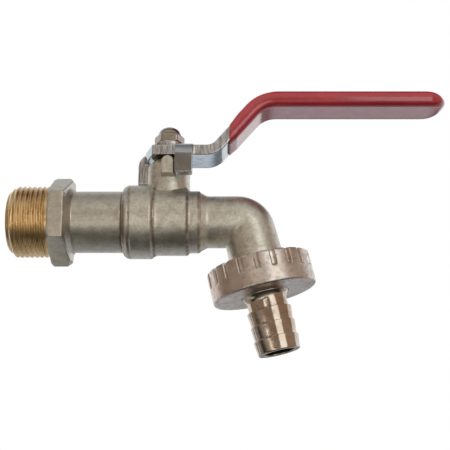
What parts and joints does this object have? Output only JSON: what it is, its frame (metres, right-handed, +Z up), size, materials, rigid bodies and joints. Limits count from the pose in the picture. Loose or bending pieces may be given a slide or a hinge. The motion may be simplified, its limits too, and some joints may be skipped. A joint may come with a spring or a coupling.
{
  "type": "barrel tap",
  "caption": "Barrel tap with a quarter-turn ball valve, a bent lever with a dipped grip, an elbow outlet and a hose union.",
  "frame": {"origin": "centre of the shoulder that the inlet thread ends at, on the barrel's axis", "axes": "+X along the barrel from the inlet to the elbow, +Z up the valve's stem, -Y towards the side with the stop lug"},
  "size_m": [0.1637, 0.038, 0.1004],
  "materials": {
    "plated_brass": "satin nickel plate",
    "plated_nut": "polished nickel plate",
    "bare_brass": "turned",
    "chromed_ball": "polished chrome plate",
    "zinc_steel": "bright zinc plate",
    "red_vinyl": "glossy dipped",
    "ptfe": "matte",
    "seal_rubber": "matte"
  },
  "bodies": {
    "tap": {"inlet_barrel": "plated_brass", "valve_body": "plated_brass", "inlet_seat": "ptfe", "outlet_seat": "ptfe", "packing_rings": "ptfe", "gland_nut": "bare_brass"},
    "valve": {"ball": "chromed_ball", "stem": "bare_brass", "thrust_washer": "ptfe", "lever": "zinc_steel", "lever_grip": "red_vinyl", "flat_washer": "zinc_steel", "spring_washer": "zinc_steel", "cap_nut": "plated_nut"},
    "tail": {"hose_tail": "plated_nut", "union_seal": "seal_rubber"},
    "union": {"union_nut": "plated_nut"}
  },
  "joints": [
    {"name": "lever_turn", "type": "hinge", "parent": "tap", "child": "valve", "pos_m": [0.0425, 0, 0], "axis": [0, 0, 1], "range_deg": [0, 90]},
    {"name": "tail_slide", "type": "slide", "parent": "tap", "child": "tail", "axis": [0.225, 0, -0.9744], "range_m": [0, 0.0069]},
    {"name": "nut_turn", "type": "hinge", "parent": "tail", "child": "union", "pos_m": [0.0718, 0, 0], "axis": [0.225, 0, -0.9744], "range_deg": [0, 1076]}
  ],
  "couplings": [
    {"joint": "nut_turn", "follows": "tail_slide", "rad_per_m": 2721.1}
  ]
}
